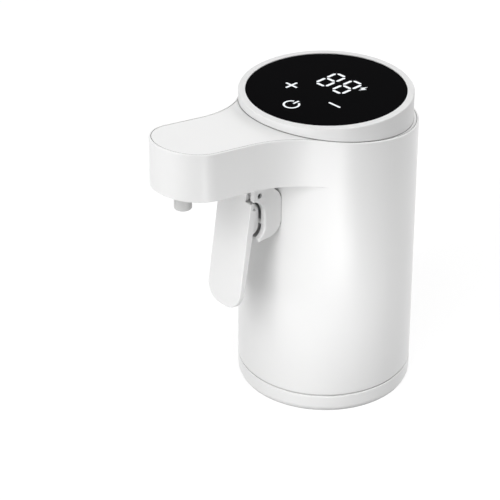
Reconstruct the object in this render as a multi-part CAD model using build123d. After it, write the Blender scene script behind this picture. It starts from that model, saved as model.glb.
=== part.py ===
"""Electric wine aerator: a battery-powered pump head with a stopper below and a spout arm above.

Frame: millimetres, +Z up, the spout arm points along -Y. The origin is on the body's axis at the
underside of the lip seal, so the socket's skirt lies below zero and the body above.
"""

import os
from math import acos, atan2, cos, degrees, hypot, pi, radians, sin, sqrt, tan

from build123d import *

# Body and head
body_radius = 32.5
shell_wall = 2.2
lip_depth = 27.0
base_height = 7.0
head_room = 10.9
head_slope = 8.5
head_thickness = 18.1
arm_length = 31.8
arm_width = 28.2
arm_blend_radius = 40.0
rim_width = 0.65
rim_round = 0.25
lid_thickness = 2.0
seam_gap = 0.2
overrun = 3.0
tolerance = 0.01
inner_radius = body_radius - shell_wall
base_top = base_height - lip_depth
slope = tan(radians(head_slope))
arm_half = arm_width / 2
arm_reach = body_radius + arm_length

# Base cover and the stopper's socket
base_floor = 2.2
base_round = 1.6
base_edge_round = 0.35
shell_edge_round = 0.2
shadow_gap_height = 0.5
shadow_gap_depth = 0.6
socket_radius = 17.5
socket_wall = 2.0
socket_roof = 2.5
spigot_wall = 1.8
spigot_height = 4.0
fit_gap = 0.2
boss_radius = 3.2
boss_overlap = 0.6
boss_height = 16.0
boss_angles = (90, 210, 330)
boss_circle = inner_radius - boss_radius + boss_overlap

# Stopper
lip_seal_thickness = 1.5
lip_seal_radius = 15.5
stopper_core_radius = 4.0
stopper_body_radius = 7.6
rib_radius = 9.25
rib_height = 2.5
rib_pitch = 5.8
rib_count = 4
roof_hole_radius = stopper_core_radius + fit_gap
core_flange_radius = 7.5
core_flange_thickness = 2.0
wine_bore_radius = 1.0
vent_bore_radius = 0.6
vent_offset = 2.6
valve_offset = 5.0
valve_radius = 1.7
valve_thickness = 1.2
valve_stem_radius = 0.8
dip_barb_radius = 2.6
dip_barb_height = 4.0
roof_top = lip_seal_thickness + socket_roof
ribs_bottom = -(rib_pitch * (rib_count - 1) + rib_height)
core_overhang = 1.6
core_bottom = ribs_bottom - core_overhang

# Screws
screw_radius = 1.0
screw_head_radius = 1.9
screw_head_height = 1.3
screw_slot_width = 0.5
screw_slot_depth = 0.6
screw_slot_length = 2.66
screw_clearance = 0.1
thread_depth = 6.0
thread_spare = 0.5

# Chassis
chassis_thickness = 2.5
chassis_gap = 0.9
chassis_radius = inner_radius - chassis_gap
chassis_top = roof_top + chassis_thickness
chassis_screw_circle = 15.8
chassis_screw_angles = (100, 222, 325)
chassis_thread_depth = 1.8
post_radius = 2.2

# Hose
hose_bore_radius = 1.6
hose_wall = 1.0
hose_grip = 0.02
barb_length = 4.0
hose_radius = hose_bore_radius + hose_wall
barb_radius = hose_bore_radius - hose_grip
inlet_gap = 2.0
barb_seat = 0.2

# Gear pump
gear_teeth = 10
gear_module = 0.9
gear_width = 6.0
gear_backlash = 0.1
addendum_share = 0.8
dedendum_share = 1.0
pressure_angle = 20.0
flank_steps = 4
gear_run = 0.08
face_run = 0.05
shaft_radius = 1.0
shaft_run = 0.05
pump_cover_thickness = 2.5
pump_roof = 4.4
pump_wall = 2.0
pump_corner = 3.4
port_radius = 1.3
port_width = 2.6
seal_radius = 2.6
seal_height = 2.4
seal_press = 0.05
pitch_radius = gear_module * gear_teeth / 2
tip_radius = pitch_radius + addendum_share * gear_module
root_radius = pitch_radius - dedendum_share * gear_module
gear_spacing = pitch_radius * 2
chamber_radius = tip_radius + gear_run
chamber_depth = gear_width + face_run * 2
pump_y = -5.0
drive_x = -gear_spacing / 2
idler_x = gear_spacing / 2
pump_bottom = chassis_top + barb_length * 2 + inlet_gap - core_flange_thickness + barb_seat
chamber_bottom = pump_bottom + pump_cover_thickness
chamber_top = chamber_bottom + chamber_depth
pump_top = chamber_top + pump_roof
motor_share = 0.396
motor_radius = inner_radius * motor_share
outlet_angle = -34.7
outlet_gap = 1.2
outlet_swing = motor_radius + hose_radius + outlet_gap
outlet_x = drive_x + outlet_swing * cos(radians(outlet_angle))
outlet_y = pump_y + outlet_swing * sin(radians(outlet_angle))
pump_land = 7.2
pump_left = drive_x - chamber_radius - pump_land
pump_right = max(idler_x + chamber_radius + pump_wall, outlet_x + hose_radius + pump_wall / 2)
pump_back = hose_radius
pump_front = outlet_y - hose_radius - pump_wall / 2
pump_screw_inset = 2.4
front_screw_x = 0.9
pump_screw_places = (
    (pump_left + pump_screw_inset, pump_front + pump_screw_inset),
    (pump_left + pump_screw_inset, pump_back - pump_screw_inset),
    (pump_right - pump_screw_inset, pump_back - pump_screw_inset),
    (front_screw_x, pump_front + pump_screw_inset),
)

# Motor
motor_length = 31.0
motor_wall = 1.0
magnet_thickness = 1.8
magnet_gap = 0.6
magnet_sweep = 130.0
armature_share = 0.62
motor_bearing_radius = 3.2
motor_bearing_height = 1.6
motor_screw_inset = 3.5
motor_screw_angles = (135, 225)
motor_grip = 2.2
terminal_offset = 7.2
terminal_height = 3.2
armature_slots = 3
armature_slot_width = 2.0
armature_slot_start = 3.9
motor_bottom = pump_top
motor_top = motor_bottom + motor_length
motor_screw_circle = motor_radius - motor_screw_inset
magnet_inner = motor_radius - motor_wall - magnet_thickness
armature_radius = magnet_inner - magnet_gap

# Battery
cell_radius_share = 0.302
cell_length = 65.0
cell_x_share = 0.528
cell_y_share = 0.38
cell_gap = 0.15
cell_cap_radius = 3.0
cell_cap_height = 1.0
cup_wall = 1.1
cup_height = 7.8
cell_radius = inner_radius * cell_radius_share
cell_x = inner_radius * cell_x_share
cell_y = inner_radius * cell_y_share
head_height = chassis_top + cell_length + head_room

# Main board and charging port
board_thickness = 1.6
board_width_share = 0.924
board_width = inner_radius * board_width_share
board_front_share = 0.76
board_front = inner_radius * board_front_share
board_bottom_gap = 1.2
board_top = 60.0
rail_height = 22.0
rail_width = 2.6
rail_wall = 1.2
port_half_width = 4.47
port_height = 3.26
port_wall = 0.3
port_level = 15.0
port_recess = 0.6
port_gap = 0.2
tongue_width = 6.7
tongue_height = 0.7
tongue_setback = 1.2
chip_height = 1.2
chip_shares = (
    (-0.22, 0.62, 0.26, 0.14),
    (-0.28, 0.36, 0.18, 0.1),
    (-0.05, 0.42, 0.14, 0.12),
    (-0.3, 0.16, 0.2, 0.08),
)
ribbon_width = 10.0
ribbon_thickness = 0.4
ribbon_tail = 3.0

# Display
display_rise = 8.0
display_shift = 1.2
bezel_inset = 1.1
glass_share = 0.917
bezel_round = 0.35
bezel_foot_gap = 0.2
bezel_foot_depth = 0.5
glass_thickness = 1.5
glass_sink = 0.3
glass_gap = 0.12
display_board_share = 0.9263
display_board_thickness = 1.5
display_board_gap = 0.1
display_shelf = 1.1
lamp_depth = 2.5
lamp_gap = 0.05
spigot_inset = 1.1
spigot_drop = 3.2
mark_depth = 0.3
mark_turn = 2.3
display_top = head_height + display_rise
bezel_radius = body_radius - bezel_inset
glass_radius = bezel_radius * glass_share
spigot_radius = glass_radius - spigot_inset
display_board_radius = glass_radius * display_board_share
glass_top = display_top - glass_sink
glass_bottom = glass_top - glass_thickness
display_board_top = glass_bottom - lamp_depth
display_board_bottom = display_board_top - display_board_thickness

# Lit marks on the glass, placed from the glass's centre
digit_width = 5.8
digit_height = 11.8
digit_bar = 1.1
digit_break = 0.85
digit_pitch = 8.05
digit_centre_y = 6.4
key_spread = 10.75
key_y = -6.8
key_span = 5.5
key_bar = 0.85
power_y = -17.4
power_radius = 3.1
power_bar = 0.75
power_break_angle = 50.0
power_stem = 2.8
power_stem_rise = 2.3
bolt_x = 8.9
bolt_y = 9.6
bolt_width = 2.6
bolt_height = 4.3
bolt_shares = (
    (0.12, 0.5),
    (-0.5, -0.08),
    (-0.08, -0.08),
    (-0.12, -0.5),
    (0.5, 0.1),
    (0.08, 0.1),
)
pad_radius = 3.4
lamp_margin = 3.0

# Nozzle
nozzle_offset = 3.7
nozzle_radius = 3.15
nozzle_reach = arm_reach + nozzle_offset
nozzle_drop = 7.8
nozzle_head_radius = 4.8
nozzle_head_height = 7.6
nozzle_round = 0.5
nozzle_run = 0.1
nozzle_boss_radius = 5.4
nozzle_boss_lift = 1.5
gasket_thickness = 0.8
aerator_radius = 2.3
aerator_height = 3.0
aerator_hole_radius = 0.35
aerator_hole_circle = 1.3
aerator_hole_count = 6
elbow_rise = 3.8
hose_corner_drop = 10.4
hose_bend_reach = 5.2
bend_share = 0.45
elbow_barb = 5.0

# Lever, its hinge and the switch, placed from the hinge pin
pin_reach = 8.7
pin_drop = 5.16
pin_y = -body_radius - pin_reach
pin_z = head_height - head_thickness - slope * pin_y - pin_drop
pin_recess = 1.1
pin_fit = 0.02
lever_tilt = 8.4
lever_width = 17.2
lever_length = 45.9
lever_face = 2.85
lever_plate = 1.5
lever_corner = 6.8
lever_round = 0.4
lever_top_width = 11.2
lever_top_height = 3.2
lever_notch = 3.2
lever_flange_top = 6.0
lever_flange_depth = 1.5
lever_flange_end = 0.3
lever_flange_width = 1.4
barrel_radius = 2.5
barrel_width = 11.0
cheek_outer = 9.6
cheek_inner = 7.5
cheek_round = 0.35
ear_front = 2.5
ear_drop = 1.9
ear_slant = 0.9
ear_step = 0.2
cradle_back = 2.4
cradle_top = 8.5
cradle_low = 13.0
cradle_end = 17.3
lip_front = 0.3
ear_bend = (1.5, -5.0)
cradle_bend = (1.7, -15.8)
pod_drop = 18.5
pod_bite = 0.15
pod_low_radius = 6.0
pod_high_radius = 7.0
pod_high_angle = 60.0
pod_high_level = -5.7
pod_floor = 1.0
pod_back = body_radius + pin_reach - sqrt(body_radius ** 2 - cheek_outer ** 2) + pod_bite
pad_half_width = 7.2
pad_back = 2.3
pad_round = 1.5
pad_run = 0.15
pad_top = -3.7
pad_shoulder = -0.5
pad_high_bend = (1.6, -5.6)
pad_low_bend = (1.4, -15.6)
pad_end = (-0.9, -17.0)
switch_width = 12.8
switch_back = 10.2
switch_front = 5.0
switch_height = 6.5
switch_drop = 10.05
switch_gap = 0.1
switch_pin_length = 2.6
switch_pin_width = 0.8
switch_pin_pitch = 4.6
plunger_radius = 1.2
plunger_run = 0.05
plunger_depth = 2.6
plunger_travel = 1.7
plunger_tip_gap = 0.1
plunger_round = 0.4
spring_wire = 0.35
spring_pitch = 0.52
spring_turns = 2
spring_start = 120.0
spring_run = 0.3
spring_back_leg = 5.0
spring_front_leg = 3.3
spring_inset = 0.25


def post(radius, bottom, top, x=0, y=0):
    """An upright cylinder between two heights."""
    cylinder = Cylinder(radius, top - bottom, align=(Align.CENTER, Align.CENTER, Align.MIN))
    return Pos(x, y, bottom) * cylinder


def tube(outer, inner, bottom, top, x=0, y=0):
    """An upright round tube between two heights."""
    return post(outer, bottom, top, x, y) - post(inner, bottom, top, x, y)


def block(x_low, x_high, y_low, y_high, bottom, top):
    """A rectangular block between six faces."""
    box = Box(x_high - x_low, y_high - y_low, top - bottom, align=(Align.MIN, Align.MIN, Align.MIN))
    return Pos(x_low, y_low, bottom) * box


def on_circle(radius, angle):
    """The plan position at an angle in degrees on a circle about the body's axis."""
    return radius * cos(radians(angle)), radius * sin(radians(angle))


def head_plane(drop):
    """The head's sloping plane, a vertical drop below its top face."""
    angle = radians(head_slope)
    return Plane(origin=(0, 0, head_height - drop), x_dir=(1, 0, 0), z_dir=(0, sin(angle), cos(angle)))


def below(solid, plane):
    """The share of a solid under a plane."""
    return split(solid, bisect_by=plane, keep=Keep.BOTTOM)


def above(solid, plane):
    """The share of a solid over a plane."""
    return split(solid, bisect_by=plane, keep=Keep.TOP)


def head_z(y, drop=0):
    """The height of the head's sloping plane at a distance along the arm."""
    return head_height - drop - slope * y


def arc_about(centre, start, end):
    """A circular arc about a centre, the short way round."""
    radius = hypot(start[0] - centre[0], start[1] - centre[1])
    middle = ((start[0] + end[0]) / 2 - centre[0], (start[1] + end[1]) / 2 - centre[1])
    scale = radius / hypot(*middle)
    return ThreePointArc(start, (centre[0] + middle[0] * scale, centre[1] + middle[1] * scale), end)


def head_outline(inset):
    """The head's plan: the body's circle run into a round-ended arm by two concave blends."""
    radius = body_radius - inset
    half = arm_half - inset
    blend = arm_blend_radius + inset
    centre_x = arm_half + arm_blend_radius
    centre_y = -sqrt((body_radius + arm_blend_radius) ** 2 - centre_x ** 2)
    share = radius / (radius + blend)
    join_x = centre_x * share
    join_y = centre_y * share
    edges = [
        ThreePointArc((half, -arm_reach), (0, -arm_reach - half), (-half, -arm_reach)),
        Line((-half, -arm_reach), (-half, centre_y)),
        arc_about((-centre_x, centre_y), (-half, centre_y), (-join_x, join_y)),
        ThreePointArc((-join_x, join_y), (0, radius), (join_x, join_y)),
        arc_about((centre_x, centre_y), (join_x, join_y), (half, centre_y)),
        Line((half, centre_y), (half, -arm_reach)),
    ]
    return make_face(edges)


def head_prism(inset, drop_top, drop_bottom):
    """The head's plan drawn in by an inset, between two of its sloping planes."""
    low = head_z(body_radius, drop_bottom) - overrun
    high = head_z(-arm_reach - arm_half, drop_top) + overrun
    prism = Pos(0, 0, low) * extrude(head_outline(inset), high - low)
    return below(above(prism, head_plane(drop_bottom)), head_plane(drop_top))


def screw(length, x, y, z, down=True):
    """A small pan-head screw with its head's flat on the given height."""
    shank = post(screw_radius, -length, 0)
    head = post(screw_head_radius, 0, screw_head_height)
    slot_low = screw_head_height - screw_slot_depth
    reach = screw_slot_length / 2
    half = screw_slot_width / 2
    cross = block(-reach, reach, -half, half, slot_low, screw_head_height)
    cross += block(-half, half, -reach, reach, slot_low, screw_head_height)
    body = shank + head - cross
    if not down:
        body = Rot(180, 0, 0) * body
    return Pos(x, y, z) * body


def side_profile(edges, half_width, centre_x=0):
    """A solid of a side profile, drawn as (y, z) from the hinge pin and spread across X."""
    face = make_face(edges)
    plane = Plane(origin=(centre_x - half_width, pin_y, pin_z), x_dir=(0, 1, 0), z_dir=(1, 0, 0))
    return extrude(plane * face, half_width * 2)


def arm_underside_z(y):
    """The height of the arm's underside at a place along it."""
    return head_z(y, head_thickness)


def hinge_pod():
    """The two cheeks under the arm with their floor, open at the front for the lever's pad."""
    high_angle = radians(pod_high_angle)
    high_centre = (pod_back - pod_high_radius, pod_high_level)
    high_end = (
        high_centre[0] + pod_high_radius * cos(high_angle),
        high_centre[1] + pod_high_radius * sin(high_angle),
    )
    low_centre = (pod_back - pod_low_radius, -pod_drop + pod_low_radius)
    top = arm_underside_z(pin_y - ear_front) - pin_z + shell_wall / 2
    ear_end = (-ear_front + ear_slant, -ear_drop - ear_step)
    edges = [
        Line((-ear_front, top), (-ear_front, -ear_drop)),
        Line((-ear_front, -ear_drop), ear_end),
        ThreePointArc(ear_end, ear_bend, (cradle_back, -cradle_top)),
        Line((cradle_back, -cradle_top), (cradle_back, -cradle_low)),
        ThreePointArc((cradle_back, -cradle_low), cradle_bend, (-lip_front, -cradle_end)),
        Line((-lip_front, -cradle_end), (-lip_front, -pod_drop)),
        Line((-lip_front, -pod_drop), (low_centre[0], -pod_drop)),
        arc_about(low_centre, (low_centre[0], -pod_drop), (pod_back, low_centre[1])),
        Line((pod_back, low_centre[1]), (pod_back, high_centre[1])),
        arc_about(high_centre, (pod_back, high_centre[1]), high_end),
        Line(high_end, (high_end[0], top)),
        Line((high_end[0], top), (-ear_front, top)),
    ]
    pod = side_profile(edges, cheek_outer)
    pod = fillet([edge for edge in pod.edges() if on_cheek_face(edge)], cheek_round)
    hollow = block(
        -cheek_inner,
        cheek_inner,
        pin_y - ear_front - overrun,
        pin_y + pod_back + overrun,
        pin_z - pod_drop + pod_floor,
        pin_z + top + overrun,
    )
    pod -= hollow
    pin_hole = Plane(origin=(-cheek_outer - overrun, pin_y, pin_z), z_dir=(1, 0, 0))
    pod -= extrude(pin_hole * Circle(shaft_radius + pin_fit), (cheek_outer + overrun) * 2)
    return pod


def on_cheek_face(edge):
    """Whether an edge bounds a cheek's flat side, below the arm's underside."""
    sides = [abs(abs((edge @ share).X) - cheek_outer) < tolerance for share in (0, 0.5, 1)]
    return all(sides) and (edge @ 0.5).Z < pin_z - ear_drop


def main_shell():
    """The white cylinder, the arm's open channel and the hinge's cheeks, in one moulding."""
    low = base_top + seam_gap
    outer = post(body_radius, low, head_z(-body_radius) + overrun)
    foot = outer.edges().filter_by(GeomType.CIRCLE).sort_by(Axis.Z)[0]
    outer = fillet([foot], shell_edge_round)
    outer = below(outer, head_plane(0)) + head_prism(0, 0, head_thickness)
    rim = [edge for edge in outer.edges() if on_head_top(edge)]
    outer = fillet(rim, rim_round)
    inner = below(post(inner_radius, low - overrun, display_top), head_plane(lid_thickness))
    inner += head_prism(shell_wall, lid_thickness, head_thickness - shell_wall)
    shell = outer + hinge_pod() - inner
    shell -= head_prism(rim_width, -overrun, lid_thickness)
    for angle in boss_angles:
        x, y = on_circle(boss_circle, angle)
        shell += post(boss_radius, spigot_top() + seam_gap, spigot_top() + boss_height, x, y)
        shell -= post(screw_radius + screw_clearance, low, spigot_top() + thread_depth, x, y)
    shell += nozzle_boss()
    hole_bottom = arm_underside_z(-nozzle_reach) - overrun
    shell -= post(nozzle_radius + nozzle_run, hole_bottom, display_top, 0, -nozzle_reach)
    shell -= charging_slot()
    shell -= switch_window()
    return shell


def on_head_top(edge):
    """Whether an edge lies in the head's top face."""
    for share in (0, 0.5, 1):
        point = edge @ share
        if abs(point.Z - head_z(point.Y)) > tolerance:
            return False
    return True


def spigot_top():
    """The height that the base cover's spigot reaches inside the shell."""
    return base_top + spigot_height


def nozzle_seat_z():
    """The flat on which the nozzle's gasket lies, inside the arm."""
    return arm_underside_z(-nozzle_reach) + shell_wall + nozzle_boss_lift


def nozzle_boss():
    """The flat-topped boss on the arm's floor round the nozzle's hole."""
    low = arm_underside_z(-nozzle_reach + nozzle_boss_radius) - overrun
    boss = post(nozzle_boss_radius, low, nozzle_seat_z(), 0, -nozzle_reach)
    return above(boss, head_plane(head_thickness - shell_wall / 2))


def charging_slot():
    """The round-ended slot through the rear wall for the charging port."""
    half = port_half_width + port_gap
    height = port_height + port_gap * 2
    slot = SlotOverall(half * 2, height)
    plane = Plane(origin=(0, body_radius + overrun, port_level), x_dir=(-1, 0, 0), z_dir=(0, -1, 0))
    return extrude(plane * slot, shell_wall + overrun * 2)


def switch_window():
    """The window in the body's front wall that holds the switch."""
    half = switch_width / 2 + switch_gap
    tall = switch_height / 2 + switch_gap
    level = pin_z - switch_drop
    back = overrun - inner_radius
    front = pin_y + pod_back - shell_wall - overrun
    return block(-half, half, front, back, level - tall, level + tall)


def top_cover():
    """The head's sloping lid, with the round opening for the display and the nozzle's hold-down."""
    lid = head_prism(rim_width + seam_gap, 0, lid_thickness)
    lid -= post(spigot_radius + fit_gap, 0, display_top + overrun, 0, -display_shift)
    hold_top = head_z(-nozzle_reach, lid_thickness / 2)
    hold_bottom = nozzle_seat_z() + gasket_thickness + nozzle_head_height + fit_gap
    hold = post(nozzle_head_radius / 2, hold_bottom, hold_top + overrun, 0, -nozzle_reach)
    return lid + below(hold, head_plane(lid_thickness / 2))


def display_bezel():
    """The round wall that stands on the lid and carries the glass and the display's board."""
    outer = post(bezel_radius, 0, display_top, 0, -display_shift)
    rim = outer.edges().filter_by(GeomType.CIRCLE).sort_by(Axis.Z)[-1]
    outer = above(fillet([rim], bezel_round), head_plane(-bezel_foot_gap))
    foot = post(bezel_radius - bezel_foot_depth, 0, glass_bottom, 0, -display_shift)
    spigot = post(spigot_radius, 0, glass_bottom, 0, -display_shift)
    bezel = outer + above(foot, head_plane(0)) + above(spigot, head_plane(spigot_drop))
    bezel -= post(glass_radius + glass_gap, glass_bottom, display_top + overrun, 0, -display_shift)
    pocket = display_board_radius + display_board_gap
    bezel -= post(pocket, display_board_bottom, display_top, 0, -display_shift)
    bezel -= post(pocket - display_shelf, 0, display_top, 0, -display_shift)
    return bezel


def bar(x, y, width, height, bottom, top):
    """A flat bar centred on a place given from the glass's centre."""
    return block(x - width / 2, x + width / 2, y - height / 2, y + height / 2, bottom, top)


def on_glass(solids):
    """Solids drawn about the glass's centre, set in their place with the marks' small turn."""
    place = Pos(0, -display_shift, 0) * Rot(0, 0, mark_turn)
    return [place * solid for solid in solids]


def segment(x, y, length, upright, bottom, top):
    """One pointed-end segment of a digit."""
    half = length / 2
    tip = digit_bar / 2
    points = [
        (half, 0),
        (half - tip, tip),
        (tip - half, tip),
        (-half, 0),
        (tip - half, -tip),
        (half - tip, -tip),
    ]
    face = make_face(Polyline(*points, close=True))
    if upright:
        face = Rot(0, 0, 90) * face
    return extrude(Pos(x, y, bottom) * face, top - bottom)


def digits(bottom, top):
    """Two seven-segment figures of eight, every segment lit."""
    solids = []
    across = digit_width - digit_bar - digit_break
    rise = (digit_height - digit_bar) / 2
    side_x = (digit_width - digit_bar) / 2
    for side in (-1, 1):
        x = side * digit_pitch / 2
        for step in (-1, 0, 1):
            solids.append(segment(x, digit_centre_y + step * rise, across, False, bottom, top))
        for step in (-0.5, 0.5):
            for hand in (-1, 1):
                y = digit_centre_y + step * rise
                place = x + hand * side_x
                solids.append(segment(place, y, rise - digit_break, True, bottom, top))
    return on_glass(solids)


def icons(bottom, top):
    """The plus, minus, power and charging marks."""
    plus = bar(-key_spread, key_y, key_span, key_bar, bottom, top)
    plus += bar(-key_spread, key_y, key_bar, key_span, bottom, top)
    minus = bar(key_spread, key_y, key_span, key_bar, bottom, top)
    power_ring = tube(power_radius, power_radius - power_bar, bottom, top, 0, power_y)
    reach = power_radius + overrun
    half_break = radians(power_break_angle / 2)
    spread = reach * tan(half_break)
    wedge = make_face(Polyline((0, 0), (spread, reach), (-spread, reach), close=True))
    power_ring -= extrude(Pos(0, power_y, bottom) * wedge, top - bottom)
    stem = bar(0, power_y + power_stem_rise, power_bar, power_stem, bottom, top)
    points = [(bolt_x + across * bolt_width, bolt_y + along * bolt_height) for across, along in bolt_shares]
    flash = extrude(Pos(0, 0, bottom) * make_face(Polyline(*points, close=True)), top - bottom)
    return on_glass([plus, minus, power_ring, stem, flash])


def display_glass():
    """The black disc, with shallow pockets for the lit marks."""
    glass = post(glass_radius, glass_bottom, glass_top, 0, -display_shift)
    low = glass_top - mark_depth
    for mark in digits(low, glass_top + overrun) + icons(low, glass_top + overrun):
        glass -= mark
    return glass


def led_module():
    """The light block behind the digits."""
    width = digit_pitch + digit_width + lamp_margin * 2
    height = digit_height + lamp_margin
    top = glass_bottom - lamp_gap
    return on_glass([bar(0, digit_centre_y, width, height, display_board_top, top)])


def touch_pads():
    """The three sprung contacts between the board and the glass."""
    places = ((-key_spread, key_y), (key_spread, key_y), (0, power_y))
    top = glass_bottom - lamp_gap
    return on_glass([post(pad_radius, display_board_top, top, x, y) for x, y in places])


def display_board():
    """The round board under the glass."""
    return post(display_board_radius, display_board_bottom, display_board_top, 0, -display_shift)


def base_cover():
    """The ring below the seam, with the stopper's socket and the spigot that enters the shell."""
    low = -lip_depth
    groove_bottom = base_top - shadow_gap_height
    outer = post(body_radius, low, groove_bottom)
    outer = fillet([outer.edges().filter_by(GeomType.CIRCLE).sort_by(Axis.Z)[-1]], base_edge_round)
    outer = fillet([outer.edges().filter_by(GeomType.CIRCLE).sort_by(Axis.Z)[0]], base_round)
    outer += post(body_radius - shadow_gap_depth, low, base_top)
    cover = outer - post(inner_radius, low + base_floor, base_top)
    ring_outer = inner_radius - fit_gap
    ring_inner = ring_outer - spigot_wall
    cover += tube(ring_outer, ring_inner, low + base_floor, spigot_top())
    cover += tube(inner_radius, ring_inner, low + base_floor, groove_bottom)
    for angle in boss_angles:
        x, y = on_circle(boss_circle, angle)
        cover += post(boss_radius - fit_gap, low + base_floor / 2, spigot_top(), x, y)
    cover -= tube(body_radius + overrun, ring_outer, base_top, spigot_top())
    cover += post(socket_radius + socket_wall, low, roof_top)
    cover -= post(socket_radius, low, lip_seal_thickness)
    cover -= post(roof_hole_radius, 0, roof_top)
    for angle in boss_angles:
        x, y = on_circle(boss_circle, angle)
        cover -= post(screw_radius + screw_clearance, low, spigot_top(), x, y)
        head_top = low + screw_head_height + screw_clearance
        cover -= post(screw_head_radius + screw_clearance, low, head_top, x, y)
    for angle in chassis_screw_angles:
        x, y = on_circle(chassis_screw_circle, angle)
        cover -= post(screw_radius, roof_top - chassis_thread_depth, roof_top, x, y)
    return cover


def base_screws():
    """Three screws up through the base cover into the shell's bosses."""
    head_seat = -lip_depth + screw_head_height + screw_clearance
    length = spigot_top() + thread_depth - thread_spare - head_seat
    solids = []
    for angle in boss_angles:
        x, y = on_circle(boss_circle, angle)
        solids.append(screw(length, x, y, head_seat, down=False))
    return solids


def bottle_stopper():
    """The ribbed silicone plug."""
    plug = post(stopper_body_radius, ribs_bottom, lip_seal_thickness)
    for index in range(rib_count):
        top = -index * rib_pitch
        plug += post(rib_radius, top - rib_height, top)
    return plug - post(stopper_core_radius, ribs_bottom, lip_seal_thickness)


def lip_seal():
    """The flat silicone ring between the plug's top rib and the socket's roof."""
    return tube(lip_seal_radius, stopper_body_radius, 0, lip_seal_thickness)


def stopper_core():
    """The rigid tube through the plug, with the wine and vent passages and its two hose barbs."""
    core = post(stopper_core_radius, core_bottom, roof_top)
    core += post(core_flange_radius, roof_top, roof_top + core_flange_thickness)
    flange_top = roof_top + core_flange_thickness
    core += post(barb_radius, flange_top, flange_top + barb_length)
    core += post(dip_barb_radius, core_bottom - dip_barb_height, core_bottom)
    core -= post(wine_bore_radius, core_bottom - dip_barb_height, flange_top + barb_length)
    core -= post(vent_bore_radius, core_bottom, roof_top + vent_bore_radius, -vent_offset)
    groove = block(
        -valve_offset - vent_bore_radius,
        -vent_offset + vent_bore_radius,
        -vent_bore_radius,
        vent_bore_radius,
        roof_top,
        roof_top + vent_bore_radius,
    )
    core -= groove
    return core - post(valve_stem_radius + fit_gap / 2, roof_top, flange_top, -valve_offset)


def air_valve():
    """The little umbrella valve that lets air in as the wine leaves."""
    seat = roof_top + core_flange_thickness
    dome = post(valve_radius, seat, seat + valve_thickness, -valve_offset)
    rim = dome.edges().filter_by(GeomType.CIRCLE).sort_by(Axis.Z)[-1]
    dome = fillet([rim], valve_thickness / 2)
    return dome + post(valve_stem_radius, roof_top + vent_bore_radius, seat, -valve_offset)


def chassis():
    """The inner floor, with the pump's posts, the cell's cup and the board's rails."""
    plate = post(chassis_radius, roof_top, chassis_top)
    plate -= post(core_flange_radius + fit_gap, roof_top, chassis_top)
    cup_inner = cell_radius + cell_gap
    plate += tube(cup_inner + cup_wall, cup_inner, chassis_top, chassis_top + cup_height, cell_x, cell_y)
    rail_outer = board_width / 2 + rail_wall
    for hand in (-1, 1):
        x_low, x_high = sorted((hand * (rail_outer - rail_width), hand * rail_outer))
        y_low = board_front - rail_wall
        y_high = board_front + board_thickness + rail_wall
        plate += block(x_low, x_high, y_low, y_high, chassis_top, chassis_top + rail_height)
    half = board_width / 2 + fit_gap
    slot_low = board_front - fit_gap / 2
    slot_high = board_front + board_thickness + fit_gap / 2
    slot_bottom = chassis_top + board_bottom_gap - fit_gap
    plate -= block(-half, half, slot_low, slot_high, slot_bottom, chassis_top + rail_height)
    for x, y in pump_screw_places:
        plate += post(post_radius, chassis_top, pump_bottom, x, y)
    plate &= post(chassis_radius, roof_top, display_top)
    head_recess = screw_head_height + screw_clearance
    for x, y in pump_screw_places:
        plate -= post(screw_radius + screw_clearance, roof_top, pump_bottom, x, y)
        plate -= post(screw_head_radius + screw_clearance, roof_top, roof_top + head_recess, x, y)
    for angle in chassis_screw_angles:
        x, y = on_circle(chassis_screw_circle, angle)
        plate -= post(screw_radius + screw_clearance, roof_top, chassis_top, x, y)
    return plate


def chassis_screws():
    """Three short screws that hold the chassis on the socket's roof."""
    length = chassis_thickness + chassis_thread_depth - screw_clearance
    solids = []
    for angle in chassis_screw_angles:
        x, y = on_circle(chassis_screw_circle, angle)
        solids.append(screw(length, x, y, chassis_top))
    return solids


def pump_block(bottom, top):
    """The pump's round-cornered block between two heights."""
    solid = block(pump_left, pump_right, pump_front, pump_back, bottom, top)
    return fillet(solid.edges().filter_by(Axis.Z), pump_corner)


def pump_holes(solid, bottom, top):
    """The pump's four fixing holes."""
    for x, y in pump_screw_places:
        solid -= post(screw_radius, bottom, top, x, y)
    return solid


def pump_cover():
    """The plate that closes the gear chamber from below, with the inlet's barb."""
    cover = pump_block(pump_bottom, chamber_bottom)
    cover = pump_holes(cover, pump_bottom, chamber_bottom)
    cover += post(barb_radius, pump_bottom - barb_length, pump_bottom)
    cover -= post(wine_bore_radius, pump_bottom - barb_length, chamber_bottom)
    socket_bottom = pump_bottom + pump_cover_thickness / 2
    return cover - post(shaft_radius + pin_fit, socket_bottom, chamber_bottom, idler_x, pump_y)


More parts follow.
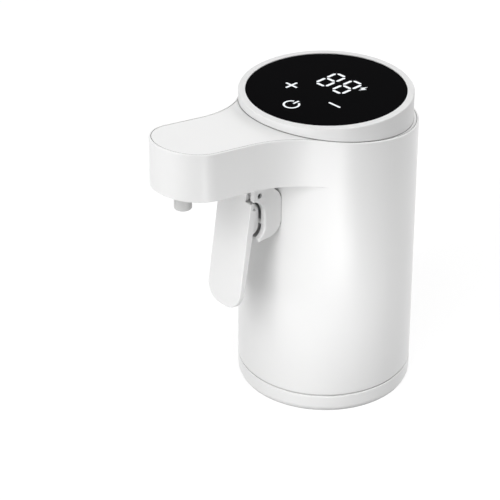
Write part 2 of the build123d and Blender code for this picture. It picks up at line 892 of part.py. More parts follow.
def pump_body():
    """The pump's block, with the gear chamber, the ports and the shaft seal's seat."""
    body = pump_block(chamber_bottom, pump_top)
    for x in (drive_x, idler_x):
        body -= post(chamber_radius, chamber_bottom, chamber_top, x, pump_y)
    body -= block(-port_width / 2, port_width / 2, pump_y, 0, chamber_bottom, chamber_top)
    body -= post(port_width / 2, chamber_bottom, chamber_top)
    run_x = outlet_x
    run_y = outlet_y - pump_y + chamber_radius / 2
    start_y = pump_y - chamber_radius / 2
    length = hypot(run_x, run_y)
    angle = degrees(atan2(run_y, run_x))
    channel = block(0, length, -port_radius, port_radius, chamber_bottom, chamber_top)
    body -= Pos(0, start_y, 0) * Rot(0, 0, angle) * channel
    body -= post(port_radius, chamber_bottom, chamber_top, outlet_x, outlet_y)
    body += post(barb_radius, pump_top, pump_top + barb_length, outlet_x, outlet_y)
    body -= post(wine_bore_radius, chamber_top, pump_top + barb_length, outlet_x, outlet_y)
    body -= post(shaft_radius + shaft_run, chamber_top, pump_top, drive_x, pump_y)
    body -= post(seal_radius + seal_press, pump_top - seal_height, pump_top, drive_x, pump_y)
    body -= post(shaft_radius + pin_fit, chamber_top, chamber_top + pump_roof / 2, idler_x, pump_y)
    for x, y in pump_screw_places:
        body -= post(screw_radius, chamber_bottom, chamber_bottom + thread_depth, x, y)
    head_recess = screw_head_height + screw_clearance
    for angle in motor_screw_angles:
        x, y = motor_screw_place(angle)
        body -= post(screw_radius + screw_clearance, chamber_bottom, pump_top, x, y)
        recess = screw_head_radius + screw_clearance
        body -= post(recess, chamber_bottom, chamber_bottom + head_recess, x, y)
    return body


def motor_screw_place(angle):
    """Where a motor screw stands, at an angle about the motor's axis."""
    x, y = on_circle(motor_screw_circle, angle)
    return drive_x + x, pump_y + y


def pump_screws():
    """Four long screws up through the chassis's posts into the pump's block."""
    head_seat = roof_top + screw_head_height + screw_clearance
    length = chamber_bottom + thread_depth - screw_clearance - head_seat
    return [screw(length, x, y, head_seat, down=False) for x, y in pump_screw_places]


def motor_screws():
    """Two screws up through the pump's block into the motor's front."""
    head_seat = chamber_bottom + screw_head_height + screw_clearance
    length = pump_top + motor_grip - screw_clearance - head_seat
    places = [motor_screw_place(angle) for angle in motor_screw_angles]
    return [screw(length, x, y, head_seat, down=False) for x, y in places]


def gear_face():
    """One spur gear's outline: involute flanks on a root circle, with a tooth centred on +X."""
    base_radius = pitch_radius * cos(radians(pressure_angle))
    half_tooth = (pi * gear_module / 2 - gear_backlash) / 2 / pitch_radius
    involute_pitch = tan(radians(pressure_angle)) - radians(pressure_angle)
    start_radius = max(base_radius, root_radius)

    def half_angle(radius):
        pressure = acos(min(base_radius / radius, 1))
        return half_tooth + involute_pitch - (tan(pressure) - pressure)

    flank = [(root_radius, half_angle(start_radius))]
    for step in range(flank_steps + 1):
        radius = start_radius + (tip_radius - start_radius) * step / flank_steps
        flank.append((radius, half_angle(radius)))
    points = []
    for tooth in range(gear_teeth):
        centre = 2 * pi * tooth / gear_teeth
        rising = [(radius, centre - turn) for radius, turn in flank]
        falling = [(radius, centre + turn) for radius, turn in reversed(flank)]
        points += [(radius * cos(turn), radius * sin(turn)) for radius, turn in rising + falling]
    return make_face(Polyline(*points, close=True))


def gear(x, turn, bore):
    """A pump gear on its own axis, turned by an angle in degrees."""
    low = chamber_bottom + face_run
    wheel = extrude(Pos(0, 0, low) * gear_face(), gear_width)
    wheel = Pos(x, pump_y, 0) * Rot(0, 0, turn) * wheel
    return wheel - post(bore, low, low + gear_width, x, pump_y)


def idler_pin():
    """The fixed pin on which the idler gear turns."""
    low = pump_bottom + pump_cover_thickness / 2
    return post(shaft_radius, low, chamber_top + pump_roof / 2 - face_run, idler_x, pump_y)


def drive_shaft():
    """The motor's shaft, which carries the drive gear at its lower end."""
    low = chamber_bottom + face_run
    return post(shaft_radius, low, motor_top + motor_bearing_height, drive_x, pump_y)


def shaft_seal():
    """The rubber ring that keeps the wine from the motor."""
    low = pump_top - seal_height
    return tube(seal_radius, shaft_radius + shaft_run, low, pump_top - face_run, drive_x, pump_y)


def motor_can():
    """The motor's drawn can with its front bearing and two threaded holes."""
    can = post(motor_radius, motor_bottom, motor_top - motor_wall, drive_x, pump_y)
    can -= post(motor_radius - motor_wall, motor_bottom + motor_grip, motor_top, drive_x, pump_y)
    can -= post(shaft_radius + shaft_run, motor_bottom, motor_top, drive_x, pump_y)
    for angle in motor_screw_angles:
        x, y = motor_screw_place(angle)
        can -= post(screw_radius, motor_bottom, motor_bottom + motor_grip, x, y)
    return can


def motor_end_cap():
    """The plastic cap that closes the can, with the rear bearing and two terminals."""
    cap = post(motor_radius, motor_top - motor_wall, motor_top, drive_x, pump_y)
    cap += post(motor_bearing_radius, motor_top, motor_top + motor_bearing_height, drive_x, pump_y)
    for hand in (-1, 1):
        x = drive_x + hand * terminal_offset
        cap += block(
            x - motor_wall / 2,
            x + motor_wall / 2,
            pump_y - motor_wall,
            pump_y + motor_wall,
            motor_top,
            motor_top + terminal_height,
        )
    top = motor_top + motor_bearing_height
    return cap - post(shaft_radius + shaft_run, motor_top - motor_wall, top, drive_x, pump_y)


def motor_magnets():
    """Two curved magnets inside the can."""
    low = motor_bottom + motor_grip + motor_wall
    high = motor_top - motor_wall - magnet_thickness
    ring = tube(motor_radius - motor_wall, magnet_inner, low, high)
    rise = motor_radius * tan(radians(magnet_sweep / 2))
    solids = []
    for reach in (-motor_radius, motor_radius):
        wedge = make_face(Polyline((0, 0), (reach, rise), (reach, -rise), close=True))
        cutter = extrude(Pos(0, 0, low) * wedge, high - low)
        solids.append(Pos(drive_x, pump_y, 0) * (ring & cutter))
    return solids


def motor_armature():
    """The wound core that turns with the shaft."""
    inner_length = motor_length - motor_grip - motor_wall
    length = inner_length * armature_share
    low = motor_bottom + motor_grip + (inner_length - length) / 2
    core = tube(armature_radius, shaft_radius, low, low + length)
    half = armature_slot_width / 2
    for index in range(armature_slots):
        slot = block(armature_slot_start, motor_radius, -half, half, low, low + length)
        core -= Rot(0, 0, 360 * index / armature_slots) * slot
    return Pos(drive_x, pump_y, 0) * core


def battery_cell():
    """The round lithium cell that stands in the chassis's cup."""
    low = chassis_top
    cell = post(cell_radius, low, low + cell_length - cell_cap_height, cell_x, cell_y)
    return cell + post(cell_cap_radius, low, low + cell_length, cell_x, cell_y)


def main_board():
    """The upright control board."""
    low = chassis_top + board_bottom_gap
    half = board_width / 2
    return block(-half, half, board_front, board_front + board_thickness, low, board_top)


def board_chips():
    """The chips and connectors on the control board's front."""
    low = chassis_top + board_bottom_gap
    tall = board_top - low
    solids = []
    for across, up, wide, high in chip_shares:
        x = across * board_width
        z = low + up * tall
        solids.append(
            block(
                x - wide * board_width / 2,
                x + wide * board_width / 2,
                board_front - chip_height,
                board_front,
                z - high * tall / 2,
                z + high * tall / 2,
            )
        )
    return solids


def usb_port():
    """The charging socket on the board's back, just inside the rear wall."""
    front = board_front + board_thickness
    depth = body_radius - port_recess - front
    plane = Plane(origin=(0, front, port_level), x_dir=(-1, 0, 0), z_dir=(0, 1, 0))
    shell = extrude(plane * SlotOverall(port_half_width * 2, port_height), depth)
    inner = SlotOverall((port_half_width - port_wall) * 2, port_height - port_wall * 2)
    inner_plane = Plane(origin=(0, front + port_wall * 2, port_level), x_dir=(-1, 0, 0), z_dir=(0, 1, 0))
    shell -= extrude(inner_plane * inner, depth)
    half = tongue_width / 2
    rise = tongue_height / 2
    end = front + depth - tongue_setback
    tongue = block(-half, half, front + port_wall, end, port_level - rise, port_level + rise)
    return shell + tongue


def ribbon_cable():
    """The flat cable from the control board up to the display's board."""
    half = ribbon_width / 2
    front = board_front - ribbon_thickness
    return block(-half, half, front, board_front, board_top - ribbon_tail, display_board_bottom)


def inlet_hose():
    """The short hose from the stopper's core up to the pump."""
    low = roof_top + core_flange_thickness + barb_seat / 2
    return tube(hose_radius, hose_bore_radius, low, pump_bottom - barb_seat / 2)


def elbow_z():
    """The height of the nozzle elbow's barb."""
    return nozzle_seat_z() + gasket_thickness + elbow_rise


def outlet_route():
    """The outlet hose's route, from the pump's barb to the nozzle's elbow."""
    level = elbow_z()
    start = (outlet_x, outlet_y, pump_top + barb_seat / 2)
    corner = (outlet_x, outlet_y, level - hose_corner_drop)
    bend = (0, -body_radius - hose_bend_reach, level)
    end = (0, -nozzle_reach + nozzle_head_radius + barb_seat, level)
    return [start, corner, bend, end]


def route_radii(points):
    """The largest tangent arc that fits each corner of a route."""
    radii = []
    for before, here, after in zip(points, points[1:], points[2:]):
        first = Vector(*here) - Vector(*before)
        second = Vector(*after) - Vector(*here)
        turn = radians(first.get_angle(second))
        radii.append(bend_share * min(first.length, second.length) / tan(turn / 2))
    return radii


def outlet_hose():
    """The hose from the pump up the body and along the arm to the nozzle."""
    points = outlet_route()
    radii = route_radii(points)
    path = FilletPolyline(*points, radius=radii)
    section = Circle(hose_radius) - Circle(hose_bore_radius)
    hose = sweep(Plane(origin=path @ 0, z_dir=path % 0) * section, path=path)
    expected = pi * (hose_radius ** 2 - hose_bore_radius ** 2) * path.length
    print("outlet hose radii", [round(radius, 1) for radius in radii])
    print("outlet hose volume over section times length", round(hose.volume / expected, 4))
    return hose


def nozzle_tip_z():
    """The lowest point of the nozzle."""
    return arm_underside_z(-nozzle_reach) - nozzle_drop


def outlet_nozzle():
    """The spout tube through the arm's floor, with the elbow that takes the hose."""
    tip = nozzle_tip_z()
    seat = nozzle_seat_z() + gasket_thickness
    y = -nozzle_reach
    nozzle = post(nozzle_radius, tip, seat, 0, y)
    mouth = nozzle.edges().filter_by(GeomType.CIRCLE).sort_by(Axis.Z)[0]
    nozzle = fillet([mouth], nozzle_round)
    nozzle += post(nozzle_head_radius, seat, seat + nozzle_head_height, 0, y)
    length = nozzle_head_radius + elbow_barb
    barb_plane = Plane(origin=(0, y, elbow_z()), x_dir=(1, 0, 0), z_dir=(0, 1, 0))
    nozzle += extrude(barb_plane * Circle(barb_radius), length)
    nozzle -= extrude(barb_plane * Circle(wine_bore_radius), length)
    nozzle -= post(wine_bore_radius, tip, elbow_z(), 0, y)
    return nozzle - post(aerator_radius, tip, tip + aerator_height, 0, y)


def aerator_insert():
    """The drilled disc in the nozzle's mouth that mixes air into the wine."""
    y = -nozzle_reach
    low = nozzle_tip_z() + nozzle_round
    insert = post(aerator_radius - pin_fit, low, nozzle_tip_z() + aerator_height, 0, y)
    for index in range(aerator_hole_count):
        x_hole, y_hole = on_circle(aerator_hole_circle, 360 * index / aerator_hole_count)
        insert -= post(aerator_hole_radius, low, nozzle_tip_z() + aerator_height, x_hole, y + y_hole)
    return insert


def nozzle_gasket():
    """The flat ring between the nozzle's head and the boss."""
    low = nozzle_seat_z()
    inner = nozzle_radius + nozzle_run
    return tube(nozzle_head_radius, inner, low, low + gasket_thickness, 0, -nozzle_reach)


def lever_outline(inset, top):
    """The paddle's face below its notch, in (x, z) from the pin."""
    half = lever_width / 2 - inset
    low = -lever_length + inset
    corner = lever_corner - inset
    edges = [
        Line((-half, top), (half, top)),
        Line((half, top), (half, low + corner)),
        arc_about((half - corner, low + corner), (half, low + corner), (half - corner, low)),
        Line((half - corner, low), (corner - half, low)),
        arc_about((corner - half, low + corner), (corner - half, low), (-half, low + corner)),
        Line((-half, low + corner), (-half, top)),
    ]
    return make_face(edges)


def across_lever(face, front, back):
    """A face drawn in (x, z) from the pin, given a thickness along Y."""
    plane = Plane(origin=(0, back, 0), x_dir=(1, 0, 0), z_dir=(0, -1, 0))
    return extrude(plane * face, back - front)


def lever_pad():
    """The D-shaped pad behind the lever that enters the pod and presses the switch."""
    front = -lever_face + lever_plate / 2
    low_front = (front - lever_plate, -cradle_end)
    shoulder = (pad_shoulder, pad_top)
    edges = [
        Line((front, pad_top), shoulder),
        ThreePointArc(shoulder, pad_high_bend, (pad_back, -cradle_top)),
        Line((pad_back, -cradle_top), (pad_back, -cradle_low + pad_run)),
        ThreePointArc((pad_back, -cradle_low + pad_run), pad_low_bend, pad_end),
        Line(pad_end, low_front),
        Line(low_front, (front, pad_top)),
    ]
    pad = side_profile(edges, pad_half_width)
    return fillet([edge for edge in pad.edges() if on_pad_rear(edge)], pad_round)


def on_pad_rear(edge):
    """Whether an edge bounds the pad's flat side along its rear."""
    sides = [abs(abs((edge @ share).X) - pad_half_width) < tolerance for share in (0, 0.5, 1)]
    return all(sides) and (edge @ 0.5).Y > pin_y + lip_front


def lever_paddle():
    """The paddle, with its barrel on the pin and its rear pad."""
    front = -lever_face
    back = front + lever_plate
    plate = across_lever(lever_outline(0, -lever_notch), front, back)
    half_top = lever_top_width / 2
    plate += block(-half_top, half_top, front, back, -lever_notch - lever_plate, lever_top_height)
    edges = plate.faces().sort_by(Axis.Y)[0].edges()
    plate = fillet(edges, lever_round)
    flange_face = lever_outline(0, -lever_flange_top) - lever_outline(lever_flange_width, -lever_notch)
    flange = across_lever(flange_face, back - lever_round, back + lever_flange_depth)
    fall = lever_flange_depth - lever_flange_end
    run = lever_length - lever_flange_top
    angle = atan2(fall, run)
    taper = Plane(
        origin=(0, back + lever_flange_depth, -lever_flange_top),
        x_dir=(1, 0, 0),
        z_dir=(0, cos(angle), -sin(angle)),
    )
    flange = split(flange, bisect_by=taper, keep=Keep.BOTTOM)
    barrel_plane = Plane(origin=(-barrel_width / 2, 0, 0), z_dir=(1, 0, 0))
    barrel = extrude(barrel_plane * Circle(barrel_radius), barrel_width)
    web = block(-barrel_width / 2, barrel_width / 2, back - lever_round, 0, -barrel_radius, barrel_radius)
    paddle = plate + flange + barrel + web
    paddle = Pos(0, pin_y, pin_z) * Rot(-lever_tilt, 0, 0) * paddle
    paddle += lever_pad()
    bore = Plane(origin=(-cheek_outer, pin_y, pin_z), z_dir=(1, 0, 0))
    return paddle - extrude(bore * Circle(shaft_radius + shaft_run), cheek_outer * 2)


def hinge_pin():
    """The steel pin through both cheeks and the lever's barrel."""
    half = cheek_outer - pin_recess
    plane = Plane(origin=(-half, pin_y, pin_z), z_dir=(1, 0, 0))
    return extrude(plane * Circle(shaft_radius), half * 2)


def lever_spring():
    """The small torsion spring on the pin beside the lever's barrel."""
    mean = shaft_radius + spring_run + spring_wire / 2
    turns = spring_turns + (180 - spring_start) / 360
    coil = Rot(0, 0, spring_start) * Helix(spring_pitch, spring_pitch * turns, mean)
    start = coil @ 0
    end = coil @ 1
    back_leg = Line(start - (coil % 0) * spring_back_leg, start)
    front_leg = Line(end, end + (coil % 1) * spring_front_leg)
    path = Wire([back_leg.edge(), coil.edge(), front_leg.edge()])
    section = Plane(origin=path @ 0, z_dir=path % 0) * Circle(spring_wire / 2)
    spring = sweep(section, path=path, is_frenet=True)
    x = barrel_width / 2 + spring_inset + spring_wire / 2
    place = Plane(origin=(x, pin_y, pin_z), x_dir=(0, 1, 0), z_dir=(1, 0, 0))
    print("lever spring gap between turns", round(spring_pitch - spring_wire, 2))
    return place.location * spring


def micro_switch():
    """The switch in the pod, with three solder pins inside the body."""
    half = switch_width / 2
    tall = switch_height / 2
    level = pin_z - switch_drop
    back = pin_y + switch_back
    switch = block(-half, half, pin_y + switch_front, back, level - tall, level + tall)
    for hand in (-1, 0, 1):
        x = hand * switch_pin_pitch
        left = x - switch_pin_width / 2
        right = x + switch_pin_width / 2
        switch += block(left, right, back, back + switch_pin_length, level - tall / 2, level + tall / 2)
    bore = Plane(origin=(0, pin_y, level), x_dir=(1, 0, 0), z_dir=(0, 1, 0))
    depth = switch_front + plunger_depth + plunger_travel + plunger_tip_gap
    return switch - extrude(bore * Circle(plunger_radius + plunger_run), depth)


def switch_plunger():
    """The switch's button, which the lever's pad pushes in."""
    level = pin_z - switch_drop
    start = pad_back + plunger_tip_gap
    length = switch_front + plunger_depth - start
    plane = Plane(origin=(0, pin_y + start, level), x_dir=(1, 0, 0), z_dir=(0, 1, 0))
    plunger = extrude(plane * Circle(plunger_radius), length)
    tip = plunger.edges().filter_by(GeomType.CIRCLE).sort_by(Axis.Y)[0]
    return fillet([tip], plunger_round)


def as_group(solids):
    """Several separate solids kept together as one node."""
    return Compound(children=[solid.solid() for solid in solids])


PARTS = {
    "main_shell": main_shell,
    "top_cover": top_cover,
    "display_bezel": display_bezel,
    "display_glass": display_glass,
    "digit_segments": lambda: digits(glass_top - mark_depth, glass_top),
    "key_icons": lambda: icons(glass_top - mark_depth, glass_top),
    "led_module": led_module,
    "touch_pads": touch_pads,
    "display_board": display_board,
    "base_cover": base_cover,
    "base_screws": base_screws,
    "bottle_stopper": bottle_stopper,
    "lip_seal": lip_seal,
    "stopper_core": stopper_core,
    "air_valve": air_valve,
    "chassis": chassis,
    "chassis_screws": chassis_screws,
    "pump_cover": pump_cover,
    "pump_body": pump_body,
    "pump_screws": pump_screws,
    "drive_gear": lambda: gear(drive_x, 0, shaft_radius),
    "idler_gear": lambda: gear(idler_x, 180 / gear_teeth, shaft_radius + shaft_run),
    "idler_pin": idler_pin,
    "drive_shaft": drive_shaft,
    "shaft_seal": shaft_seal,
    "motor_can": motor_can,
    "motor_end_cap": motor_end_cap,
    "motor_magnets": motor_magnets,
    "motor_armature": motor_armature,
    "motor_screws": motor_screws,
    "battery_cell": battery_cell,
    "main_board": main_board,
    "board_chips": board_chips,
    "usb_port": usb_port,
    "ribbon_cable": ribbon_cable,
    "inlet_hose": inlet_hose,
    "outlet_hose": outlet_hose,
    "outlet_nozzle": outlet_nozzle,
    "nozzle_gasket": nozzle_gasket,
    "aerator_insert": aerator_insert,
    "lever_paddle": lever_paddle,
    "hinge_pin": hinge_pin,
    "lever_spring": lever_spring,
    "micro_switch": micro_switch,
    "switch_plunger": switch_plunger,
}


os.makedirs("parts", exist_ok=True)
for name, make in PARTS.items():
    shape = make()
    if isinstance(shape, list):
        shape = as_group(shape)
    export_step(shape, f"parts/{name}.step")
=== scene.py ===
"""Looks and studio for the electric wine aerator."""

from math import radians

import bpy
from mathutils import Euler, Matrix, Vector


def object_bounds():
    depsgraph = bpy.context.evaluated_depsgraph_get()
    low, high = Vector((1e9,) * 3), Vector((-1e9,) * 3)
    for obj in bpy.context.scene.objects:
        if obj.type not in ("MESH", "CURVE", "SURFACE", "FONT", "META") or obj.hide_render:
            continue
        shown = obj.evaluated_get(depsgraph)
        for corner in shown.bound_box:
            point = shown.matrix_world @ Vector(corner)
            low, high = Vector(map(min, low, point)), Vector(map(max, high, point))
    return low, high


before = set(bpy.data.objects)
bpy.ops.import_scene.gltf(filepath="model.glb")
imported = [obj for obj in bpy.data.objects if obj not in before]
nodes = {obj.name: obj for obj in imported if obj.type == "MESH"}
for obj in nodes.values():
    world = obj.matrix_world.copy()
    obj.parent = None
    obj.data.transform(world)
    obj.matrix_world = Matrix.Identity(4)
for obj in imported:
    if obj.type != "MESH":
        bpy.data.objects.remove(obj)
cad_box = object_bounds()
base_level = cad_box[0][2]
top_level = cad_box[1][2]

# Camera, as fitted to the photograph, in metres, degrees and millimetres of film
camera_place = (0.508907, -0.484930, 0.440234)
camera_pitch = 59.2924
camera_yaw = 48.668
camera_lens = 158.35
sensor_width = 36.0
nearest_seen = 0.05
farthest_seen = 20.0

# Floor: half its width in metres, its grey, and how much of white it shows without light
floor_half = 3.0
floor_grey = 0.2
floor_roughness = 0.9
floor_glow = 0.84

# Lamps: the height they aim at, and their widths and lengths, in metres
aim_height = 0.04
wide = (0.45, 0.7)
strip = (0.16, 0.7)
square = (0.6, 0.6)
soft = (0.8, 0.8)
flat = (0.6, 0.4)
squat = (0.5, 0.25)
slim = (0.045, 0.12)
narrow = (0.03, 0.06)
small = (0.03, 0.05)
least = (0.03, 0.024)

# Surfaces: noise scales per metre, lengths in metres, and bump strength from nought to one
plastic_cloud = 30.0
plastic_grain = 2600.0
metal_cloud = 400.0
metal_grain = 3000.0
glass_cloud = 12.0
glass_ripple = 200.0
light_cloud = 900.0
roughness_cloud_ratio = 3
cloud_detail = 2.0
grain_detail = 3.0
satin_height = 0.000004
matt_height = 0.00001
ripple_height = 0.0000005
bump_strength = 0.4
# Painted shade: how far, in metres, and with how many samples ambient occlusion darkens the base
# colour in creases and seams
painted_shade_reach = 0.0005
painted_shade_samples = 8


def add_camera():
    """The photograph's camera."""
    data = bpy.data.cameras.new("photo_camera")
    data.lens = camera_lens
    data.sensor_width = sensor_width
    data.clip_start = nearest_seen
    data.clip_end = farthest_seen
    camera = bpy.data.objects.new("photo_camera", data)
    camera.location = camera_place
    camera.rotation_euler = (radians(camera_pitch), 0, radians(camera_yaw))
    bpy.context.scene.collection.objects.link(camera)
    bpy.context.scene.camera = camera


def add_lamp(name, turn, height, distance, size, power):
    """A soft lamp that stands round the object, at a turn from the camera's side.

    Only the lamps below the glass are mirrored, so the glass shows the white surround alone.
    """
    data = bpy.data.lights.new(name, "AREA")
    data.shape = "RECTANGLE"
    data.size, data.size_y = size
    data.energy = power
    lamp = bpy.data.objects.new(name, data)
    place = Vector((0, -distance, height))
    place.rotate(Euler((0, 0, radians(camera_yaw + turn))))
    aim = Vector((0, 0, aim_height))
    lamp.location = place
    lamp.rotation_euler = (place - aim).to_track_quat("Z", "Y").to_euler()
    lamp.visible_camera = False
    lamp.visible_glossy = height < top_level
    bpy.context.scene.collection.objects.link(lamp)


def add_lamps():
    """The studio's lamps, in watts: far ones, low ones, and faint ones close to the body's foot."""
    add_lamp("front_left", turn=-40, height=0.45, distance=0.8, size=wide, power=2.37)
    add_lamp("front", turn=-25, height=0.45, distance=0.8, size=wide, power=0.33)
    add_lamp("right", turn=100, height=0.45, distance=0.8, size=wide, power=4.73)
    add_lamp("strip", turn=-45, height=0.45, distance=0.8, size=strip, power=1.47)
    add_lamp("high_left", turn=-35, height=0.8, distance=0.6, size=square, power=3.2)
    add_lamp("top", turn=0, height=1.2, distance=0.05, size=soft, power=2.8)
    add_lamp("top_right", turn=90, height=1.2, distance=0.5, size=soft, power=1.32)
    add_lamp("back", turn=180, height=0.14, distance=0.8, size=flat, power=3.3)
    add_lamp("low_left", turn=-80, height=0.05, distance=0.9, size=squat, power=1.5)
    add_lamp("low_front", turn=-30, height=0.05, distance=0.9, size=squat, power=1.0)
    add_lamp("close_left", turn=-14, height=0.04, distance=0.16, size=slim, power=0.005)
    add_lamp("close", turn=-2, height=0.04, distance=0.16, size=slim, power=0.011)
    add_lamp("close_right", turn=12, height=0.023, distance=0.15, size=narrow, power=0.0165)
    add_lamp("near_left", turn=-4, height=0.02, distance=0.1, size=small, power=0.0024)
    add_lamp("near", turn=8, height=0.02, distance=0.1, size=small, power=0.0056)
    add_lamp("near_right", turn=18, height=0.012, distance=0.085, size=least, power=0.0044)


def seen_ray(tree):
    """One for camera, glossy and transmission rays, nought for the rest."""
    path = tree.nodes.new("ShaderNodeLightPath")
    first = tree.nodes.new("ShaderNodeMath")
    first.operation = "MAXIMUM"
    tree.links.new(path.outputs["Is Camera Ray"], first.inputs[0])
    tree.links.new(path.outputs["Is Glossy Ray"], first.inputs[1])
    second = tree.nodes.new("ShaderNodeMath")
    second.operation = "MAXIMUM"
    tree.links.new(first.outputs[0], second.inputs[0])
    tree.links.new(path.outputs["Is Transmission Ray"], second.inputs[1])
    return second.outputs[0]


def add_world():
    """A surround that shows as white and lights nothing."""
    world = bpy.data.worlds.new("studio")
    world.use_nodes = True
    tree = world.node_tree
    unlit = tree.nodes["Background"]
    unlit.inputs["Color"].default_value = (1, 1, 1, 1)
    unlit.inputs["Strength"].default_value = 0.0
    shown = tree.nodes.new("ShaderNodeBackground")
    shown.inputs["Color"].default_value = (1, 1, 1, 1)
    mix = tree.nodes.new("ShaderNodeMixShader")
    tree.links.new(seen_ray(tree), mix.inputs[0])
    tree.links.new(unlit.outputs[0], mix.inputs[1])
    tree.links.new(shown.outputs[0], mix.inputs[2])
    tree.links.new(mix.outputs[0], tree.nodes["World Output"].inputs["Surface"])
    bpy.context.scene.world = world


def floor_material():
    """A pale floor that keeps the object's shadow and throws little light back."""
    grey = (floor_grey, floor_grey, floor_grey)
    material = plain_material("floor", grey, floor_roughness, Specular_IOR_Level=0.0)
    tree = material.node_tree
    glow = tree.nodes.new("ShaderNodeEmission")
    glow.inputs["Strength"].default_value = floor_glow
    pale = tree.nodes.new("ShaderNodeBsdfDiffuse")
    pale.inputs["Color"].default_value = (*grey, 1)
    shown = tree.nodes.new("ShaderNodeAddShader")
    tree.links.new(glow.outputs[0], shown.inputs[0])
    tree.links.new(pale.outputs[0], shown.inputs[1])
    mix = tree.nodes.new("ShaderNodeMixShader")
    tree.links.new(seen_ray(tree), mix.inputs[0])
    tree.links.new(tree.nodes["Principled BSDF"].outputs[0], mix.inputs[1])
    tree.links.new(shown.outputs[0], mix.inputs[2])
    tree.links.new(mix.outputs[0], tree.nodes["Material Output"].inputs["Surface"])
    return material


def add_floor(level):
    """A plain floor at a level."""
    signs = ((-1, -1), (1, -1), (1, 1), (-1, 1))
    corners = [(floor_half * x, floor_half * y, level) for x, y in signs]
    mesh = bpy.data.meshes.new("floor")
    mesh.from_pydata(corners, [], [(0, 1, 2, 3)])
    mesh.materials.append(floor_material())
    floor = bpy.data.objects.new("floor", mesh)
    bpy.context.scene.collection.objects.link(floor)


def plain_material(name, colour, roughness, **sockets):
    """A material with its base colour, roughness and any other named shader socket."""
    material = bpy.data.materials.new(name)
    material.use_nodes = True
    shader = material.node_tree.nodes["Principled BSDF"]
    shader.inputs["Base Color"].default_value = (*colour, 1)
    shader.inputs["Roughness"].default_value = roughness
    for socket, value in sockets.items():
        shader.inputs[socket.replace("_", " ")].default_value = value
    return material


def add_noise(tree, scale, detail):
    """A noise in the object's own coordinates, at a scale per metre."""
    place = tree.nodes.new("ShaderNodeTexCoord")
    noise = tree.nodes.new("ShaderNodeTexNoise")
    noise.inputs["Scale"].default_value = scale
    noise.inputs["Detail"].default_value = detail
    tree.links.new(place.outputs["Object"], noise.inputs["Vector"])
    return noise.outputs["Fac"]


def add_tint(tree, scale, pale, dark):
    """Two near colours that run into each other in soft clouds."""
    tint = tree.nodes.new("ShaderNodeMix")
    tint.data_type = "RGBA"
    tint.inputs["A"].default_value = (*pale, 1)
    tint.inputs["B"].default_value = (*dark, 1)
    tree.links.new(add_noise(tree, scale, cloud_detail), tint.inputs["Factor"])
    return tint.outputs["Result"]


def surface(name, pale, dark, roughness, cloud, grain, grain_height, **sockets):
    """A material with clouded colour, painted shade in creases and seams, uneven roughness and a
    fine grain.
    """
    material = plain_material(name, pale, roughness[0], **sockets)
    tree = material.node_tree
    shader = tree.nodes["Principled BSDF"]
    # Painted shade: ambient occlusion darkens the clouded colour within half a millimetre of
    # creases, seams and grooves
    painted_shade = tree.nodes.new("ShaderNodeAmbientOcclusion")
    painted_shade.samples = painted_shade_samples
    painted_shade.inputs["Distance"].default_value = painted_shade_reach
    tree.links.new(add_tint(tree, cloud, pale, dark), painted_shade.inputs["Color"])
    tree.links.new(painted_shade.outputs["Color"], shader.inputs["Base Color"])
    spread = tree.nodes.new("ShaderNodeMapRange")
    spread.inputs["To Min"].default_value = roughness[0]
    spread.inputs["To Max"].default_value = roughness[1]
    patches = add_noise(tree, cloud * roughness_cloud_ratio, cloud_detail)
    tree.links.new(patches, spread.inputs["Value"])
    tree.links.new(spread.outputs["Result"], shader.inputs["Roughness"])
    bump = tree.nodes.new("ShaderNodeBump")
    bump.inputs["Strength"].default_value = bump_strength
    bump.inputs["Distance"].default_value = grain_height
    tree.links.new(add_noise(tree, grain, grain_detail), bump.inputs["Height"])
    tree.links.new(bump.outputs["Normal"], shader.inputs["Normal"])
    return material


def moulded(name, pale, dark, roughness, grain_height=satin_height, **sockets):
    """Moulded plastic, rubber or lacquer."""
    return surface(
        name, pale, dark, roughness, plastic_cloud, plastic_grain, grain_height, **sockets,
    )


def metal(name, bright, worn, roughness, metallic=1.0):
    """Drawn or turned metal."""
    return surface(
        name, bright, worn, roughness, metal_cloud, metal_grain, satin_height, Metallic=metallic,
    )


def lit(name, colour, faint_share=0.9, roughness=0.3):
    """A light that shows through the glass, a little fainter in places."""
    black = (0.0, 0.0, 0.0)
    faint = [value * faint_share for value in colour]
    material = plain_material(name, black, roughness, Emission_Strength=1.0)
    tree = material.node_tree
    tint = add_tint(tree, light_cloud, colour, faint)
    tree.links.new(tint, tree.nodes["Principled BSDF"].inputs["Emission Color"])
    return material


def dress(material, *names):
    """Gives CAD nodes a material."""
    for name in names:
        for slot in nodes[name].material_slots:
            slot.material = material


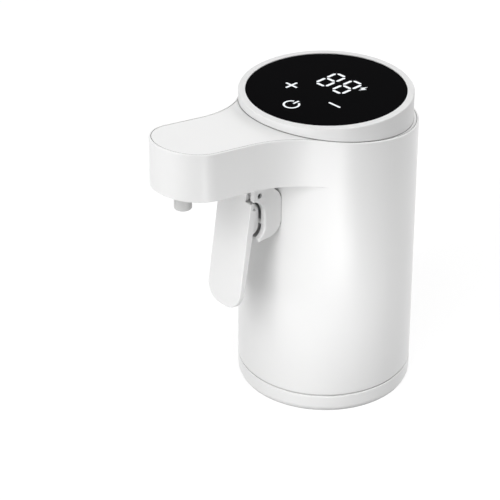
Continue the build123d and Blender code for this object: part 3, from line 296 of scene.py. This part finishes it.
def dress_outside():
    """The shell, the lid, the display, the spout and the lever."""
    white = moulded(
        "white_plastic", (0.8, 0.8, 0.795), (0.78, 0.78, 0.78), (0.38, 0.46),
        Coat_Weight=1.0, Coat_Roughness=0.3,
    )
    lid_white = moulded("lid_plastic", (0.83, 0.83, 0.825), (0.81, 0.81, 0.81), (0.34, 0.42))
    # Painted shade: the bezel's plastic is a greyer copy of the white, darker to stand in for the
    # shade on its wall
    bezel_shaded_white = moulded("bezel_plastic_painted_shade", (0.75, 0.75, 0.748), (0.73, 0.73, 0.73), (0.34, 0.42))
    # Painted shade: the spout's plastic is a greyer copy of the white, darker to stand in for the
    # shade under the arm
    spout = moulded("nozzle_plastic_painted_shade", (0.64, 0.64, 0.635), (0.6, 0.6, 0.595), (0.28, 0.36))
    glass = surface(
        "black_glass", (0.0016, 0.0016, 0.002), (0.0024, 0.0024, 0.0028), (0.05, 0.09),
        glass_cloud, glass_ripple, ripple_height, Specular_IOR_Level=0.003,
    )
    marks = lit("lit_marks", (0.93, 0.97, 1.0))
    dress(white, "main_shell", "base_cover", "lever_paddle")
    dress(lid_white, "top_cover")
    dress(bezel_shaded_white, "display_bezel")
    dress(spout, "outlet_nozzle", "aerator_insert")
    dress(glass, "display_glass")
    dress(marks, "digit_segments", "key_icons")


def dress_inside():
    """The fasteners, the springs, the pump, the motor, the boards and the seals."""
    silicone = moulded("silicone", (0.7, 0.7, 0.69), (0.64, 0.64, 0.63), (0.5, 0.6), matt_height)
    dark_plastic = moulded("dark_plastic", (0.03, 0.03, 0.032), (0.02, 0.02, 0.022), (0.4, 0.5))
    grey_plastic = moulded("inner_plastic", (0.5, 0.51, 0.52), (0.45, 0.46, 0.47), (0.4, 0.5))
    pale_plastic = moulded("pale_plastic", (0.78, 0.77, 0.74), (0.72, 0.71, 0.68), (0.35, 0.45))
    board = moulded(
        "circuit_board", (0.02, 0.14, 0.06), (0.015, 0.11, 0.05), (0.35, 0.45), matt_height,
    )
    cell = moulded("cell_wrap", (0.03, 0.16, 0.3), (0.025, 0.13, 0.26), (0.25, 0.35))
    steel = metal("steel", (0.66, 0.66, 0.67), (0.55, 0.55, 0.56), (0.25, 0.4))
    dark_steel = metal("dark_steel", (0.12, 0.12, 0.125), (0.08, 0.08, 0.085), (0.4, 0.55), 0.6)
    copper = metal("copper", (0.65, 0.33, 0.17), (0.5, 0.25, 0.12), (0.3, 0.45))
    dress(silicone, "bottle_stopper", "lip_seal", "air_valve", "nozzle_gasket", "shaft_seal")
    dress(silicone, "inlet_hose", "outlet_hose")
    dress(dark_plastic, "motor_magnets", "board_chips")
    dress(grey_plastic, "micro_switch", "chassis", "pump_cover", "pump_body", "motor_end_cap")
    dress(pale_plastic, "stopper_core", "drive_gear", "idler_gear", "led_module", "touch_pads")
    dress(pale_plastic, "ribbon_cable", "switch_plunger")
    dress(board, "main_board", "display_board")
    dress(cell, "battery_cell")
    dress(steel, "base_screws", "chassis_screws", "pump_screws", "motor_screws", "idler_pin")
    dress(steel, "drive_shaft", "lever_spring", "motor_can", "usb_port")
    dress(dark_steel, "hinge_pin")
    dress(copper, "motor_armature")


add_camera()
add_world()
add_floor(base_level)
add_lamps()
dress_outside()
dress_inside()

bpy.context.scene.view_settings.view_transform = "Standard"
